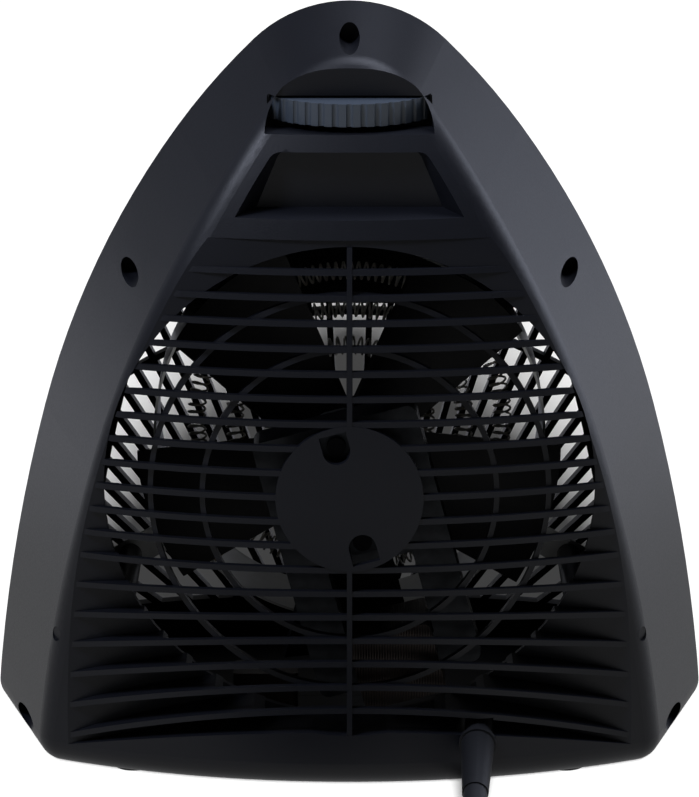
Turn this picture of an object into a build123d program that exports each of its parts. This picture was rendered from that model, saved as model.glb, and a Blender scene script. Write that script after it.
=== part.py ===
"""Compact fan heater with a domed, arch-shaped housing.

The heater stands on the XY plane with +Z up. Its front faces -Y and its slatted rear faces +Y.
The origin is on the floor under the middle of the heater. All sizes are in millimetres.
"""

from build123d import *
import math
import os

os.makedirs("parts", exist_ok=True)

# Housing: arch outline at the seam between the two shells, and how the two sides close in
HEIGHT = 228.0  # floor to crown
BASE_Z = 3.0  # underside of the shells, lifted by the feet
SEAM_Y = -4.0  # plane where the front and rear shells meet
SEAM_GAP = 0.3
WALL = 2.5
OUTLINE_ARCS = ((42, 44), (205, 10), (268, 21), (525, 9), (300, 6))  # radius, turn in degrees
REAR_Y = 74.0  # rearmost point of the housing
REAR_PLAN_RADIUS = 210.0
REAR_TAPER = 17.0
REAR_PROFILE = ((350, 13), (175, 60))  # arcs that lean the rear face forward
REAR_EDGE_RADIUS = 9.0
FRONT_Y = -74.0
FRONT_PLAN_RADIUS = 230.0
FRONT_TAPER = 14.0
FRONT_PROFILE = ((420, 12), (190, 60))
FRONT_EDGE_RADIUS = 12.0
BASE_EDGE_RADIUS = 8.0
FACE_UPRIGHT_Z = 70.0  # the two faces stand upright below this height

# Rear grille
AXIS_Z = 93.0  # height of the fan axis
DUCT_RADIUS = 73.0
SLAT_COUNT = 19
SLAT_TOP_Z = 158.9
SLAT_PITCH = 7.29
SLAT_THICKNESS = 1.7
DROOPING_SLATS = 6
SLAT_DROOP = 11.5  # drop of the lowest slat at DROOP_AT from the middle
DROOP_AT = 77.0
SLAT_REACH = 96.0
SLAT_SINK = 0.35  # how far the slats stand below the outer skin
HUB_SINK = 0.1
HUB_RADIUS = 21.8
GRILLE_RING_RADII = (43.5, 59.0)
RIB_THICKNESS = 1.6
RIB_DEPTH = 5.0  # how far below the outer skin the ring ribs end
DISH_FLOOR = 2.2
DISH_BOTTOM_Z = 21.0
DISH_TOP_Z = 168.0
# height, half width where the dish runs out into the skin, depth at the middle
DISH_SECTIONS = ((6, 85, 20), (60, 83, 15), (110, 74, 9), (150, 56, 4), (DISH_TOP_Z, 42, 0.9))

# Handle recess
HANDLE_TOP_Z = 191.6  # at the back wall
HANDLE_BOTTOM_Z = 174.8
HANDLE_TOP_HALF = 20.5
HANDLE_BOTTOM_HALF = 27.5
HANDLE_BACK_Y = 44.5
HANDLE_FLARE = 0.63  # widening of each side per millimetre towards the mouth
HANDLE_DRAFT = 0.1
HANDLE_CORNER = 3.0

# Thermostat and its thumbwheel
WHEEL_RADIUS = 27.0
WHEEL_Y = 17.0
WHEEL_Z = 198.6
WHEEL_HEIGHT = 6.8
WHEEL_RIBS = 40
RIB_GROOVE = 1.1
NOTCH_HALF = 25.0
NOTCH_BOTTOM_Z = 196.7
NOTCH_TOP_Z = 216.5
NOTCH_BACK_Y = 34.5
WHEEL_GAP = 0.8
SHAFT_RADIUS = 3.0
THERMOSTAT_SIZE = (27.0, 22.0, 15.0)
SHELF_Z = 192.9
SHELF_THICKNESS = 2.0
BUSHING_RADIUS = 4.7

# Screw wells that join the shells: x, z of each
WELLS = ((0, 220.7), (66.2, 150.3), (-66.2, 150.3), (99.8, 10.6), (-99.8, 10.6))
WELL_RADIUS = 3.1
WELL_WALL = 1.7
WELL_SEAT_Y = 6.0
SCREW_RADIUS = 1.5
SCREW_HEAD_RADIUS = 2.8
SCREW_HEAD_HEIGHT = 2.2
SHELL_SCREW_LENGTH = 24.0
BOSS_END_Y = -41.0

# Feet
FOOT_RADIUS = 6.5
FOOT_STEM_RADIUS = 2.4
FOOT_SPOTS = ((66, 44), (-66, 44), (84, -38), (-84, -38))

# Dimples low on the two sides of the rear face
DIMPLE_X = 88.9
DIMPLE_Y = 53.3
DIMPLE_Z = 45.0
DIMPLE_TURN = 41.0  # direction that each dimple faces, from the side towards the rear
DIMPLE_RADIUS = 2.2
DIMPLE_DEPTH = 1.3

# Tip-over switch
TIPOVER_X = 26.0
TIPOVER_Y = 16.0
TIPOVER_SIZE = (20.0, 13.0, 16.0)
PLUNGER_RADIUS = 2.0

# Shaded-pole motor
MOTOR_TILT = 14.8  # turn of the motor about its shaft
MOTOR_SCREW_REACH = 15.1  # from the shaft to each long screw
SCREW_WINDOW_RADIUS = 4.1  # opening in the hub over each long screw
SCREW_WINDOW_SQUARE = 0.7  # how far its square end reaches past the round one
PILOT_RADIUS = 1.1
PILOT_DEPTH = 12.0
BEARING_RADIUS = 4.5
STACK_Y = 46.0
STACK_DEPTH = 14.0
STACK_WIDTH = 50.0
STACK_TOP = 20.0
STACK_BOTTOM = 62.0
LIMB_WIDTH = 12.0
ROTOR_RADIUS = 11.6
ROTOR_GAP = 0.4
MOTOR_SHAFT_RADIUS = 1.6
BRACKET_STAND = 4.0
BRACKET_THICKNESS = 1.5
BRACKET_WIDTH = 11.0
MOTOR_POST_REACH = 17.0
MOTOR_POST_RADIUS = 2.8

# Fan
FAN_RADIUS = 64.5
FAN_BLADES = 5
FAN_TURN = 54.0  # where the first blade stands, from +X
FAN_HUB_RADIUS = 15.0
FAN_HUB_DEPTH = 14.0
FAN_Y = 19.0  # front end of the hub
BLADE_THICKNESS = 1.6
BLADE_ROOT = (24.0, 50.0)  # chord, pitch
BLADE_TIP = (47.0, 25.0)

# Heating element
SHROUD_RADIUS = 60.0
SHEET = 0.8
SHROUD_Y = -32.0
SHROUD_DEPTH = 32.0
SHROUD_POST_REACH = 79.0
SHROUD_POST_RADIUS = 3.6
SHROUD_ARMS = (90, 210, 330)
BOARD_THICKNESS = 1.0
COIL_RINGS = {"inner": 24.0, "middle": 36.0, "outer": 48.0}
COIL_RADIUS = 3.2

# Front grille
FRONT_WINDOW_INSET = 24.0
FRONT_WINDOW_BOTTOM = 18.0
FRONT_WINDOW_TOP = 118.0
FRONT_RIM = 4.0  # solid rim of the grille round its window
FRONT_FLANGE = 3.0  # how far the flange behind it reaches past the opening
FRONT_GAP = 0.3
RAY_CENTRE_Z = -35.0
RAY_STEP = 5.0
RAY_COUNT = 11
RAY_WIDTH = 2.0
RAY_RING_RADII = (98.0, 150.0, 200.0)

# Mains lead
CORD_RADIUS = 3.5
INLET = (-38.5, 68.0, 18.6)
INLET_HALF = 4.5
INLET_BOTTOM_Z = 13.2
INLET_TOP_Z = 24.0
RELIEF_LENGTH = 32.0
RELIEF_SWING = 3.0
RELIEF_DROOP = 13.0
COIL_MEAN = 42.0  # radius at the middle of the stored turns
COIL_ENTRY = (-33.0, 180.0)
PLUG_SIZE = (15.0, 24.0, 26.0)
PLUG_NECK = 12.0
BLADE_SPACING = 12.7
FIT = 0.1


def facing(y):
    """Sketch plane across the heater: its X is +X, its Y is +Z, and it extrudes towards the front."""
    return Plane((0, y, 0), x_dir=(1, 0, 0), z_dir=(0, -1, 0))


def tilted(y):
    """Sketch plane on the fan axis, turned with the motor."""
    turn = math.radians(MOTOR_TILT)
    return Plane((0, y, AXIS_Z), x_dir=(math.cos(turn), 0, -math.sin(turn)), z_dir=(0, -1, 0))


def tangent_arcs(start, heading, arcs, inset):
    """Chain of arcs, each tangent to the last; returns where it ends."""
    for radius, turn in arcs:
        direction = Vector(math.cos(math.radians(heading)), math.sin(math.radians(heading)))
        arc = JernArc(start, direction, radius - inset, -turn)
        start, heading = arc @ 1, heading - turn
    return start


def outline_face(inset, bottom):
    """Arch outline of the housing, inset by a wall, down to a straight bottom."""
    with BuildSketch() as face:
        with BuildLine():
            corner = tangent_arcs(Vector(0, HEIGHT - inset), 0, OUTLINE_ARCS, inset)
            Line(corner, (corner.X, bottom))
            Line((corner.X, bottom), (0, bottom))
            mirror(about=Plane.YZ)
        make_face()
    return face.sketch


def dome_half(inset, side, face_y, plan_radius, taper, profile):
    """Front or rear half of the housing body: a tapered arch trimmed by a turned face."""
    reach = abs(face_y - SEAM_Y)
    far_below = -2 * reach
    with BuildPart() as band:
        with BuildSketch(facing(SEAM_Y)):
            add(outline_face(inset, far_below))
        extrude(amount=-side * 1.1 * reach, taper=taper)
    axis_y = abs(face_y) - plan_radius
    with BuildPart() as face:
        with BuildSketch(Plane.YZ):
            with BuildLine():
                upright = abs(face_y) - inset
                top = tangent_arcs(Vector(upright, FACE_UPRIGHT_Z), 90, [(r, -t) for r, t in profile], inset)
                Line((upright, FACE_UPRIGHT_Z), (upright, far_below))
                Line((upright, far_below), (axis_y, far_below))
                Line((axis_y, far_below), (axis_y, top.Y))
                Line((axis_y, top.Y), top)
            make_face()
            if side < 0:
                mirror(about=Plane.YZ, mode=Mode.REPLACE)
        revolve(axis=Axis((0, side * axis_y, 0), (0, 0, 1)))
    return band.part & face.part


def crease_edges(body, side):
    """Edges where the tapered band meets the front or rear face."""

    def is_crease(edge):
        beyond = side * (edge.center().Y - SEAM_Y) > 1
        free = all(abs((edge @ end).Y - SEAM_Y) > 0.1 for end in (0, 1))
        return beyond and free and edge.geom_type != GeomType.CIRCLE

    lowest = body.faces().sort_by(Axis.Z)[0].center().Z
    return [edge for edge in body.edges() if is_crease(edge) and edge.center().Z > lowest + 0.1]


def housing_body(inset):
    """Closed body of the housing, inset from the outer skin, with its long edges rounded."""
    with BuildPart() as body:
        add(dome_half(inset, 1, REAR_Y, REAR_PLAN_RADIUS, REAR_TAPER, REAR_PROFILE))
        add(dome_half(inset, -1, FRONT_Y, FRONT_PLAN_RADIUS, FRONT_TAPER, FRONT_PROFILE))
        split(bisect_by=Plane.XY.offset(BASE_Z + inset), keep=Keep.TOP)
        fillet(crease_edges(body, 1), radius=REAR_EDGE_RADIUS - inset)
        fillet(crease_edges(body, -1), radius=FRONT_EDGE_RADIUS - inset)
        fillet(body.faces().sort_by(Axis.Z)[0].edges(), radius=BASE_EDGE_RADIUS - inset)
    return body.part


def moved_back(body, distance):
    """Copy of a body shifted along Y, which stands in for an inset of the nearly flat faces."""
    return Pos(0, distance, 0) * body


def prism(face, front_y, rear_y):
    """Straight block along Y of a face drawn across the heater."""
    with BuildPart() as block:
        with BuildSketch(facing(rear_y)):
            add(face)
        extrude(amount=rear_y - front_y)
    return block.part


def rod(x, z, radius, front_y, rear_y):
    """Round rod along Y."""
    with BuildSketch() as spot:
        with Locations((x, z)):
            Circle(radius)
    return prism(spot.sketch, front_y, rear_y)


def block(x_range, y_range, z_range):
    """Box between limits."""
    size = [high - low for low, high in (x_range, y_range, z_range)]
    middle = [(high + low) / 2 for low, high in (x_range, y_range, z_range)]
    return Pos(*middle) * Box(*size)


def finish(part, label):
    """Name a finished piece and write it."""
    part.label = label
    export_step(part, f"parts/{label}.step")
    print(f"{label}: {len(part.solids())} solid(s), {part.volume:.0f} mm3")


def rear_skin_y(x, z):
    """Y of the rear face at a point across the heater."""
    middle_y, centre_z, lean = REAR_Y, FACE_UPRIGHT_Z, 0
    for radius, turn in REAR_PROFILE:
        centre_y = middle_y - radius * math.cos(math.radians(lean))
        centre_z -= radius * math.sin(math.radians(lean))
        rise = max(z - centre_z, radius * math.sin(math.radians(lean)))
        lean += turn
        capped = min(rise, radius * math.sin(math.radians(lean)))
        middle_y = centre_y + math.sqrt(radius**2 - capped**2)
        if rise <= capped:
            break
        centre_z += radius * math.sin(math.radians(lean))
    axis_y = REAR_Y - REAR_PLAN_RADIUS
    return axis_y + math.sqrt((middle_y - axis_y) ** 2 - x**2)


def shell_side(body, side):
    """The part of a housing body behind (1) or in front of (-1) the seam."""
    with BuildPart() as half:
        add(body)
        split(bisect_by=Plane.XZ.offset(-SEAM_Y - side * SEAM_GAP / 2),
              keep=Keep.BOTTOM if side > 0 else Keep.TOP)
    return half.part


outer = housing_body(0)
cavity = housing_body(WALL)
rear_outer = shell_side(outer, 1)
clear_y = REAR_Y + 8  # beyond the rear of the housing


# ---------------------------------------------------------------- rear grille
def slat_drop(reach, droop):
    """Fall of a drooping slat at a distance from the middle."""
    radius = (DROOP_AT**2 + droop**2) / (2 * droop)
    return radius - math.sqrt(radius**2 - reach**2)


def dish(grow):
    """Hollow behind the slats: it runs out into the skin at its sides and deepens downwards."""
    with BuildPart() as hollow:
        for z, half, depth in DISH_SECTIONS:
            middle_y = rear_skin_y(0, z) - depth - grow
            fall = rear_skin_y(0, z) - depth - rear_skin_y(half, z)
            level = z + (grow if z == DISH_TOP_Z else 0)
            with BuildSketch(Plane.XY.offset(level)):
                with BuildLine():
                    places = [share * half for share in (-1.03, -0.5, 0, 0.5, 1.03)]
                    floor_line = Spline([(x, middle_y - fall * (x / half) ** 2) for x in places])
                    left, right = floor_line @ 0, floor_line @ 1
                    Polyline(left, (left.X, clear_y), (right.X, clear_y), right)
                make_face()
        loft()
        bottom_z = DISH_BOTTOM_Z - grow
        sag = slat_drop(SLAT_REACH, SLAT_DROOP * 0.72)
        with BuildSketch(facing(clear_y + 1)):
            with BuildLine():
                ThreePointArc((-SLAT_REACH, bottom_z - sag), (0, bottom_z), (SLAT_REACH, bottom_z - sag))
                Polyline((-SLAT_REACH, bottom_z - sag), (-SLAT_REACH, 0), (SLAT_REACH, 0),
                         (SLAT_REACH, bottom_z - sag))
            make_face()
        extrude(amount=clear_y + 1, mode=Mode.SUBTRACT)
    return hollow.part


dish_space = dish(0)
dish_backing = dish(DISH_FLOOR)
root = 0.4  # how far the slats are sunk in the floor of the dish

with BuildSketch() as slat_lines:
    for number in range(SLAT_COUNT):
        slat_z = SLAT_TOP_Z - number * SLAT_PITCH
        droop = SLAT_DROOP * max(0, number - SLAT_COUNT + 1 + DROOPING_SLATS) / DROOPING_SLATS
        sag = slat_drop(SLAT_REACH, droop) if droop else 0
        with BuildLine() as edge_lines:
            for rise in (SLAT_THICKNESS / 2, -SLAT_THICKNESS / 2):
                ends = [(side * SLAT_REACH, slat_z - sag + rise) for side in (-1, 1)]
                if droop:
                    ThreePointArc(ends[0], (0, slat_z + rise), ends[1])
                else:
                    Line(*ends)
            for side in (-1, 1):
                Line((side * SLAT_REACH, slat_z - sag + SLAT_THICKNESS / 2),
                     (side * SLAT_REACH, slat_z - sag - SLAT_THICKNESS / 2))
        make_face()

with BuildSketch() as duct_circle:
    with Locations((0, AXIS_Z)):
        Circle(DUCT_RADIUS)

with BuildPart() as slats:
    add(dish(root))
    add(moved_back(rear_outer, -SLAT_SINK), mode=Mode.INTERSECT)
    add(rod(0, AXIS_Z, DUCT_RADIUS - 1, 0, clear_y) & moved_back(rear_outer, -WALL), mode=Mode.SUBTRACT)
    add(prism(slat_lines.sketch, 0, clear_y), mode=Mode.INTERSECT)

with BuildSketch() as ring_lines:
    with Locations((0, AXIS_Z)):
        for radius in sorted(GRILLE_RING_RADII, reverse=True):
            Circle(radius + RIB_THICKNESS / 2)
            Circle(radius - RIB_THICKNESS / 2, mode=Mode.SUBTRACT)

with BuildSketch() as screw_windows:
    for turn in (MOTOR_TILT, MOTOR_TILT + 180):
        with Locations(Location((0, AXIS_Z, 0), (0, 0, -turn))):
            with Locations((0, MOTOR_SCREW_REACH)):
                Circle(SCREW_WINDOW_RADIUS)
                Rectangle(2 * SCREW_WINDOW_RADIUS, SCREW_WINDOW_RADIUS + SCREW_WINDOW_SQUARE,
                          align=(Align.CENTER, Align.MIN))

rib_top = AXIS_Z + DUCT_RADIUS
rib_bottom = AXIS_Z - DUCT_RADIUS
with BuildPart() as webs:
    add(prism(ring_lines.sketch, 30, clear_y))
    add(block((-RIB_THICKNESS / 2, RIB_THICKNESS / 2), (30, clear_y), (rib_bottom, rib_top)))
    add(moved_back(rear_outer, 0.2 - WALL), mode=Mode.INTERSECT)
    add(moved_back(rear_outer, -RIB_DEPTH), mode=Mode.SUBTRACT)

with BuildPart() as grille_front:
    add(rod(0, AXIS_Z, HUB_RADIUS, 30, clear_y))
    add(block((-RIB_THICKNESS / 2, RIB_THICKNESS / 2), (30, clear_y), (rib_bottom, rib_top)))
    add(moved_back(rear_outer, -HUB_SINK), mode=Mode.INTERSECT)
    add(moved_back(rear_outer, -WALL), mode=Mode.SUBTRACT)


# ---------------------------------------------------------------- rear shell
def handle_recess(grow):
    """Tapered recess that takes the fingers; grow gives the outside of its walls."""
    with BuildPart() as recess:
        for y in (REAR_Y - 12, HANDLE_BACK_Y - grow):
            flare = max(0, y - HANDLE_BACK_Y)
            top = HANDLE_TOP_Z + grow + HANDLE_DRAFT * flare
            bottom = HANDLE_BOTTOM_Z - grow - HANDLE_DRAFT * flare
            top_half = HANDLE_TOP_HALF + grow + HANDLE_FLARE * flare
            bottom_half = HANDLE_BOTTOM_HALF + grow + HANDLE_FLARE * flare
            with BuildSketch(facing(y)) as section:
                with BuildLine():
                    Polyline((-bottom_half, bottom), (-top_half, top),
                             (top_half, top), (bottom_half, bottom), close=True)
                make_face()
                fillet(section.vertices().group_by(Axis.Y)[-1], radius=HANDLE_CORNER)
        loft()
    return recess.part


def wheel_notch(grow):
    """Arched notch behind the thumbwheel, with a flat back wall."""
    with BuildSketch() as front:
        with Locations((0, NOTCH_BOTTOM_Z - grow)):
            Ellipse(NOTCH_HALF + grow, NOTCH_TOP_Z - NOTCH_BOTTOM_Z + 2 * grow)
            Rectangle(3 * NOTCH_HALF, HEIGHT, align=(Align.CENTER, Align.MIN), mode=Mode.INTERSECT)
    return prism(front.sketch, NOTCH_BACK_Y - grow, clear_y)


def motor_spot(across, up):
    """Point across the heater, given from the shaft in the motor's turned frame."""
    place = tilted(0).from_local_coords((across, up))
    return place.X, place.Z


hub_inner_y = rear_skin_y(0, AXIS_Z) - WALL
stack_rear_y = STACK_Y + STACK_DEPTH
bracket_rear_y = stack_rear_y + BRACKET_STAND + BRACKET_THICKNESS
wheel_top_z = WHEEL_Z + WHEEL_HEIGHT
arm_spots = [(SHROUD_POST_REACH * math.cos(math.radians(turn)),
              AXIS_Z + SHROUD_POST_REACH * math.sin(math.radians(turn))) for turn in SHROUD_ARMS]
shroud_rear_y = SHROUD_Y + SHROUD_DEPTH

shelf = block((-THERMOSTAT_SIZE[0] / 2 - 3, THERMOSTAT_SIZE[0] / 2 + 3), (0, NOTCH_BACK_Y),
              (SHELF_Z, SHELF_Z + SHELF_THICKNESS))
wheel_slot = block((-NOTCH_HALF + 0.5, NOTCH_HALF - 0.5), (NOTCH_BACK_Y - DISH_FLOOR - 1, NOTCH_BACK_Y + 1),
                   (NOTCH_BOTTOM_Z, wheel_top_z + WHEEL_GAP))
wheel_room = Pos(0, WHEEL_Y, (WHEEL_Z + wheel_top_z) / 2) * Cylinder(WHEEL_RADIUS + WHEEL_GAP,
                                                                     WHEEL_HEIGHT + WHEEL_GAP)
inlet = block((INLET[0] - INLET_HALF, INLET[0] + INLET_HALF), (50, clear_y), (INLET_BOTTOM_Z, INLET_TOP_Z))
well_tubes = [rod(x, z, WELL_RADIUS + WELL_WALL, SEAM_Y + SEAM_GAP / 2, clear_y) & outer for x, z in WELLS]
well_bores = [rod(x, z, WELL_RADIUS, WELL_SEAT_Y, clear_y) for x, z in WELLS]
well_holes = [rod(x, z, SCREW_RADIUS + 0.2, SEAM_Y - 1, WELL_SEAT_Y + 1) for x, z in WELLS]
post_y = shroud_rear_y + FRONT_GAP
arm_posts = [rod(x, z, SHROUD_POST_RADIUS, post_y, clear_y) & outer for x, z in arm_spots]
arm_holes = [rod(x, z, PILOT_RADIUS, shroud_rear_y, shroud_rear_y + PILOT_DEPTH) for x, z in arm_spots]
motor_spots = [motor_spot(side * MOTOR_POST_REACH, 0) for side in (-1, 1)]
post_y = bracket_rear_y + FRONT_GAP
motor_posts = [rod(x, z, MOTOR_POST_RADIUS, post_y, hub_inner_y + 1) for x, z in motor_spots]
motor_holes = [rod(x, z, PILOT_RADIUS, bracket_rear_y, hub_inner_y) for x, z in motor_spots]
foot_holes = [Pos(x, y, BASE_Z) * Cylinder(FOOT_STEM_RADIUS + FIT, 4 * WALL) for x, y in FOOT_SPOTS]
plunger_hole = Pos(TIPOVER_X, TIPOVER_Y, BASE_Z) * Cylinder(PLUNGER_RADIUS + FIT, 4 * WALL)
bushing_hole = Pos(0, WHEEL_Y, SHELF_Z) * Cylinder(BUSHING_RADIUS + FIT, 4 * SHELF_THICKNESS)
dimple_aim = Vector(math.cos(math.radians(DIMPLE_TURN)), math.sin(math.radians(DIMPLE_TURN)))
dimple_planes = [Plane((side * DIMPLE_X, DIMPLE_Y, DIMPLE_Z), z_dir=(side * dimple_aim.X, dimple_aim.Y, 0))
                 for side in (-1, 1)]
dimples = [plane.location * Cylinder(DIMPLE_RADIUS, 2 * DIMPLE_DEPTH) for plane in dimple_planes]

with BuildPart() as rear_shell:
    add(rear_outer)
    add(cavity - dish_backing, mode=Mode.SUBTRACT)
    add([*well_tubes, *arm_posts, handle_recess(DISH_FLOOR) & outer, wheel_notch(DISH_FLOOR) & outer, shelf])
    add([dish_space, prism(duct_circle.sketch, 0, clear_y)], mode=Mode.SUBTRACT)
    add([slats.part, webs.part, grille_front.part, *motor_posts])
    add([prism(screw_windows.sketch, bracket_rear_y, clear_y), handle_recess(0), wheel_notch(0),
         wheel_slot, wheel_room, inlet, *well_bores, *well_holes, *arm_holes, *motor_holes,
         *foot_holes, plunger_hole, bushing_hole, *dimples], mode=Mode.SUBTRACT)
finish(rear_shell.part, "rear_shell")


# ---------------------------------------------------------------- front shell and grille
front_outer = shell_side(outer, -1)
grille_thickness = WALL + 2 * FRONT_GAP + 2


def front_area(grow):
    """Area of the front window, which follows the housing's outline at its sides, grown all round."""
    with BuildSketch() as area:
        add(outline_face(FRONT_WINDOW_INSET - grow, -HEIGHT))
        with Locations((0, FRONT_WINDOW_BOTTOM - grow)):
            Rectangle(2 * HEIGHT, FRONT_WINDOW_TOP - FRONT_WINDOW_BOTTOM + 2 * grow,
                      align=(Align.CENTER, Align.MIN), mode=Mode.INTERSECT)
    return area.sketch


with BuildPart() as front_shell:
    add(front_outer)
    add(cavity, mode=Mode.SUBTRACT)
    add([rod(x, z, WELL_RADIUS + 0.9, BOSS_END_Y, SEAM_Y - SEAM_GAP / 2) & front_outer for x, z in WELLS])
    opening = prism(front_area(FRONT_RIM), FRONT_Y - 1, BOSS_END_Y - 1)
    pilots = [rod(x, z, SCREW_RADIUS + 0.05, WELL_SEAT_Y - SHELL_SCREW_LENGTH - 1, 0) for x, z in WELLS]
    add([opening, *pilots, *foot_holes], mode=Mode.SUBTRACT)
finish(front_shell.part, "front_shell")

with BuildSketch() as window:
    add(front_area(0))
    for number in range(-2 * RAY_COUNT, 2 * RAY_COUNT + 1):
        inner_end = RAY_RING_RADII[0] if number % 2 else 0
        with Locations(Location((0, RAY_CENTRE_Z, 0), (0, 0, number * RAY_STEP / 2))):
            with Locations((0, inner_end)):
                Rectangle(RAY_WIDTH, 2 * HEIGHT, align=(Align.CENTER, Align.MIN), mode=Mode.SUBTRACT)
    with BuildSketch(mode=Mode.PRIVATE) as arcs:
        with Locations((0, RAY_CENTRE_Z)):
            for radius in reversed(RAY_RING_RADII):
                Circle(radius + RAY_WIDTH / 2)
                Circle(radius - RAY_WIDTH / 2, mode=Mode.SUBTRACT)
    add(arcs.sketch, mode=Mode.SUBTRACT)

plug_face = front_area(FRONT_RIM - FRONT_GAP)
flange_face = front_area(FRONT_RIM + FRONT_FLANGE)
with BuildPart() as front_grille:
    add(prism(plug_face, FRONT_Y - 1, BOSS_END_Y - 1))
    add(moved_back(front_outer, 0.2), mode=Mode.INTERSECT)
    add(prism(flange_face, FRONT_Y - 1, BOSS_END_Y - 1) & moved_back(cavity, FRONT_GAP))
    add(moved_back(front_outer, grille_thickness), mode=Mode.SUBTRACT)
    add(prism(window.sketch, FRONT_Y - 1, BOSS_END_Y - 1), mode=Mode.SUBTRACT)
finish(front_grille.part, "front_grille")

# ---------------------------------------------------------------- feet and shell screws
with BuildPart() as feet:
    for x, y in FOOT_SPOTS:
        with BuildSketch(Plane.XY):
            with Locations((x, y)):
                Circle(FOOT_RADIUS)
        extrude(amount=BASE_Z)
        with BuildSketch(Plane.XY.offset(BASE_Z)):
            with Locations((x, y)):
                Circle(FOOT_STEM_RADIUS)
        extrude(amount=WALL + 1)
        with BuildSketch(Plane.XY.offset(BASE_Z + WALL + 0.1)):
            with Locations((x, y)):
                Circle(FOOT_STEM_RADIUS + 1)
        extrude(amount=1.6, taper=20)
    chamfer(feet.faces().filter_by(Axis.Z).group_by(Axis.Z)[0].edges(), length=0.8)
finish(feet.part, "rubber_feet")

with BuildPart() as shell_screws:
    for x, z in WELLS:
        add(rod(x, z, SCREW_RADIUS, WELL_SEAT_Y - SHELL_SCREW_LENGTH, WELL_SEAT_Y))
        add(rod(x, z, SCREW_HEAD_RADIUS, WELL_SEAT_Y, WELL_SEAT_Y + SCREW_HEAD_HEIGHT))
finish(shell_screws.part, "shell_screws")

# ---------------------------------------------------------------- motor
limb_inner = STACK_BOTTOM - LIMB_WIDTH
window_top = STACK_TOP + 4
bore_radius = ROTOR_RADIUS + ROTOR_GAP
with BuildPart() as motor_stack:
    with BuildSketch(tilted(stack_rear_y)) as profile:
        with Locations((0, (STACK_TOP - STACK_BOTTOM) / 2)):
            RectangleRounded(STACK_WIDTH, STACK_TOP + STACK_BOTTOM, 3)
        with Locations((0, -(window_top + limb_inner) / 2)):
            Rectangle(STACK_WIDTH - 2 * LIMB_WIDTH, limb_inner - window_top, mode=Mode.SUBTRACT)
        Circle(bore_radius, mode=Mode.SUBTRACT)
        with Locations((0, MOTOR_SCREW_REACH), (0, -MOTOR_SCREW_REACH)):
            Circle(SCREW_RADIUS + 0.1, mode=Mode.SUBTRACT)
    extrude(amount=STACK_DEPTH)
finish(motor_stack.part, "motor_stack")

coil_overhang = 6.0
coil_width = STACK_WIDTH - 2 * LIMB_WIDTH - 1
with BuildPart() as motor_coil:
    with BuildSketch(tilted(stack_rear_y + coil_overhang)):
        with Locations((0, -(limb_inner + STACK_BOTTOM) / 2)):
            RectangleRounded(coil_width, LIMB_WIDTH + 10, 2)
    extrude(amount=STACK_DEPTH + 2 * coil_overhang)
    with BuildSketch(tilted(stack_rear_y + 0.3)):
        with Locations((0, -(limb_inner + STACK_BOTTOM) / 2)):
            Rectangle(2 * coil_width, LIMB_WIDTH + 0.6)
    extrude(amount=STACK_DEPTH + 0.6, mode=Mode.SUBTRACT)
finish(motor_coil.part, "motor_coil")


def motor_bracket(inner_y, direction):
    """Bearing bracket: a cross strip with a bearing boss, held off the stack by two spacers."""
    strip_y = inner_y + direction * BRACKET_STAND
    outer_y = strip_y + direction * BRACKET_THICKNESS
    with BuildPart() as bracket:
        with BuildSketch(tilted(max(strip_y, outer_y))):
            RectangleRounded(BRACKET_WIDTH, 2 * MOTOR_SCREW_REACH + 8, 3)
            if direction > 0:
                RectangleRounded(2 * MOTOR_POST_REACH + 7, BRACKET_WIDTH - 3, 3)
                with Locations((MOTOR_POST_REACH, 0), (-MOTOR_POST_REACH, 0)):
                    Circle(1.3, mode=Mode.SUBTRACT)
        extrude(amount=BRACKET_THICKNESS)
        with BuildSketch(tilted(max(inner_y, strip_y))):
            with Locations((0, MOTOR_SCREW_REACH), (0, -MOTOR_SCREW_REACH)):
                Circle(SCREW_RADIUS + 1.4)
        extrude(amount=BRACKET_STAND)
        low, high = sorted((strip_y - direction * 1.5, outer_y + direction * 0.8))
        with BuildSketch(tilted(high)):
            Circle(BEARING_RADIUS)
        extrude(amount=high - low)
        with BuildSketch(tilted(high + 5)):
            Circle(MOTOR_SHAFT_RADIUS + 0.03)
            with Locations((0, MOTOR_SCREW_REACH), (0, -MOTOR_SCREW_REACH)):
                Circle(SCREW_RADIUS + 0.1)
        extrude(amount=20, mode=Mode.SUBTRACT)
    return bracket.part


finish(motor_bracket(stack_rear_y, 1), "motor_bracket_rear")
finish(motor_bracket(STACK_Y, -1), "motor_bracket_front")

bracket_front_y = STACK_Y - BRACKET_STAND - BRACKET_THICKNESS
with BuildPart() as motor_screws:
    for side in (-1, 1):
        x, z = motor_spot(0, side * MOTOR_SCREW_REACH)
        add(rod(x, z, SCREW_RADIUS, bracket_front_y - 3, bracket_rear_y))
        add(rod(x, z, SCREW_HEAD_RADIUS, bracket_rear_y, bracket_rear_y + SCREW_HEAD_HEIGHT))
        add(rod(x, z, SCREW_HEAD_RADIUS, bracket_front_y - 2.4, bracket_front_y))
finish(motor_screws.part, "motor_screws")

with BuildPart() as motor_mount_screws:
    for x, z in motor_spots:
        add(rod(x, z, 1.05, bracket_rear_y - BRACKET_THICKNESS, bracket_rear_y + 4))
        add(rod(x, z, 2.1, bracket_rear_y - BRACKET_THICKNESS - 1.6, bracket_rear_y - BRACKET_THICKNESS))
finish(motor_mount_screws.part, "motor_mount_screws")

with BuildPart() as motor_rotor:
    add(rod(0, AXIS_Z, ROTOR_RADIUS, STACK_Y + 0.5, stack_rear_y - 0.5))
    add(rod(0, AXIS_Z, MOTOR_SHAFT_RADIUS, FAN_Y - 3, bracket_rear_y + 1.5))
finish(motor_rotor.part, "motor_rotor")


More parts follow.
